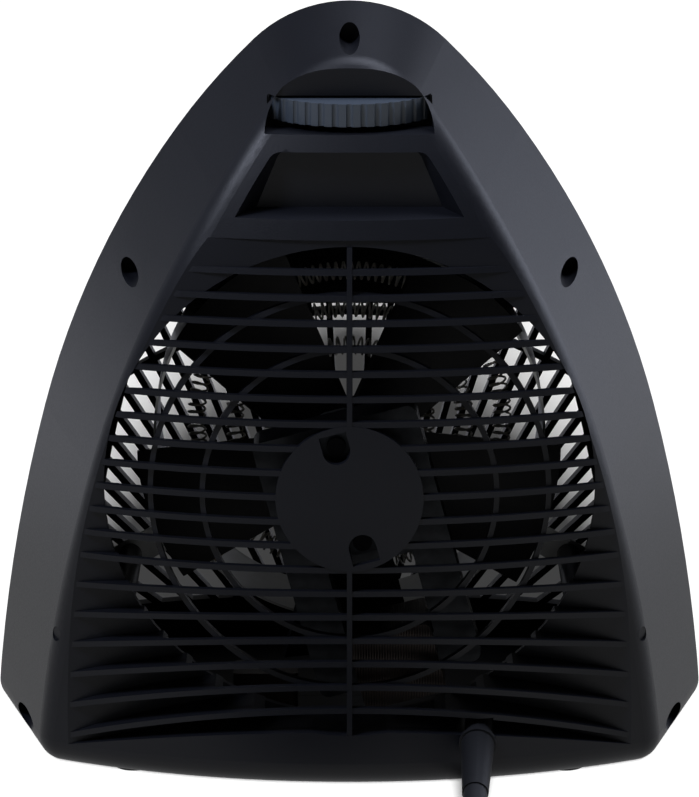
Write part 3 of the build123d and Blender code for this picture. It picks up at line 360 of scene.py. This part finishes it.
def studio_sheet(name, place=Matrix.Identity(4), half_size=1.0):
    """Flat sheet that belongs to the studio and not to the heater."""
    mesh = bpy.data.meshes.new(name)
    shape = bmesh.new()
    bmesh.ops.create_grid(shape, x_segments=1, y_segments=1, size=half_size, matrix=place)
    shape.to_mesh(mesh)
    shape.free()
    sheet = bpy.data.objects.new(name, mesh)
    bpy.context.scene.collection.objects.link(sheet)
    return sheet


sweep = studio_sheet("studio_floor", half_size=6.0)
sweep.data.materials.append(backdrop_material())

WORLD_LIGHT = 0.07  # the camera sees the world as plain white
world = bpy.data.worlds.new("studio")
bpy.context.scene.world = world
world.use_nodes = True
sky = world.node_tree
sky.nodes["Background"].inputs["Color"].default_value = (1, 1, 1, 1)
sky.links.new(ramp(sky, seen_directly(sky), 0.0, 1.0, WORLD_LIGHT, 1.0),
              sky.nodes["Background"].inputs["Strength"])


HEART = Vector((0, 0, 0.11))  # middle of the heater
COOL_WHITE = (0.78, 0.83, 1.0)


def softbox(name, place, size, power):
    """Square lamp aimed at the heater, with a size in metres and a power in watts."""
    lamp = bpy.data.lights.new(name, "AREA")
    lamp.color = COOL_WHITE
    lamp.shape = "SQUARE"
    lamp.size = size
    lamp.energy = power
    rig = bpy.data.objects.new(name, lamp)
    rig.location = place
    rig.rotation_euler = (HEART - Vector(place)).to_track_quat("-Z", "Y").to_euler()
    bpy.context.scene.collection.objects.link(rig)
    return rig


def linked(name, thing, state="INCLUDE"):
    """Collection that ties a lamp to one object, or keeps it off that object."""
    tie = bpy.data.collections.new(name)
    tie.objects.link(thing)
    tie.collection_objects[0].light_linking.link_state = state
    return tie


# a flag in the air outlet stops the floor lamp from shining through the grilles
FLAG_CENTRE = (0, -0.046, 0.068)
FLAG_HALF_SIZE = (0.088, 0.055, 1.0, 1.0)  # half width and half height; the ones change nothing
flag = studio_sheet("outlet_flag", Matrix.Translation(FLAG_CENTRE)
                    @ Matrix.Rotation(math.radians(90), 4, "X") @ Matrix.Diagonal(FLAG_HALF_SIZE))
for ray in ("camera", "diffuse", "glossy", "transmission", "volume_scatter"):
    setattr(flag, "visible_" + ray, False)

floor_alone = linked("floor_alone", sweep)
all_but_floor = linked("all_but_floor", sweep, "EXCLUDE")
all_but_flag = linked("all_but_flag", flag, "EXCLUDE")

# the softboxes light the heater, and the floor lamp lights only the floor
softboxes = [softbox("left_rim_softbox", (1.2, -0.6, 0.6), 1.0, 1.2),
             softbox("right_rim_softbox", (-1.2, -0.5, 0.6), 1.0, 12),
             softbox("top_softbox", (-0.3, -0.2, 1.5), 0.7, 14),
             softbox("key_softbox", (0.9, 0.6, 1.5), 0.5, 26)]
for rig in softboxes:
    rig.light_linking.receiver_collection = all_but_floor
    rig.light_linking.blocker_collection = all_but_flag

LAMP_ELEVATION = math.radians(20.5)
floor_lamp = bpy.data.lights.new("floor_lamp", "SUN")
floor_lamp.energy = 12.5
floor_lamp.angle = math.radians(11)
floor_rig = bpy.data.objects.new("floor_lamp", floor_lamp)
floor_aim = Vector((0, -math.cos(LAMP_ELEVATION), -math.sin(LAMP_ELEVATION)))
floor_rig.rotation_euler = floor_aim.to_track_quat("-Z", "Y").to_euler()
floor_rig.light_linking.receiver_collection = floor_alone
bpy.context.scene.collection.objects.link(floor_rig)


# ---------------------------------------------------------------- camera
ELEVATION = math.radians(15)
DISTANCE = 1.3
TARGET = Vector((0, 4, 112)) * MM
FIELD_WIDTH = 0.2155  # width seen at the target
SENSOR_WIDTH = 36
SHIFT_UP = -0.031
camera_data = bpy.data.cameras.new("camera")
camera_data.sensor_fit = "HORIZONTAL"
camera_data.sensor_width = SENSOR_WIDTH
camera_data.lens = SENSOR_WIDTH * DISTANCE / FIELD_WIDTH
camera_data.shift_y = SHIFT_UP
camera = bpy.data.objects.new("camera", camera_data)
camera.location = TARGET + Vector((0, math.cos(ELEVATION), math.sin(ELEVATION))) * DISTANCE
camera.rotation_euler = (TARGET - camera.location).to_track_quat("-Z", "Y").to_euler()
bpy.context.scene.collection.objects.link(camera)
bpy.context.scene.camera = camera
bpy.context.scene.view_settings.view_transform = "Standard"
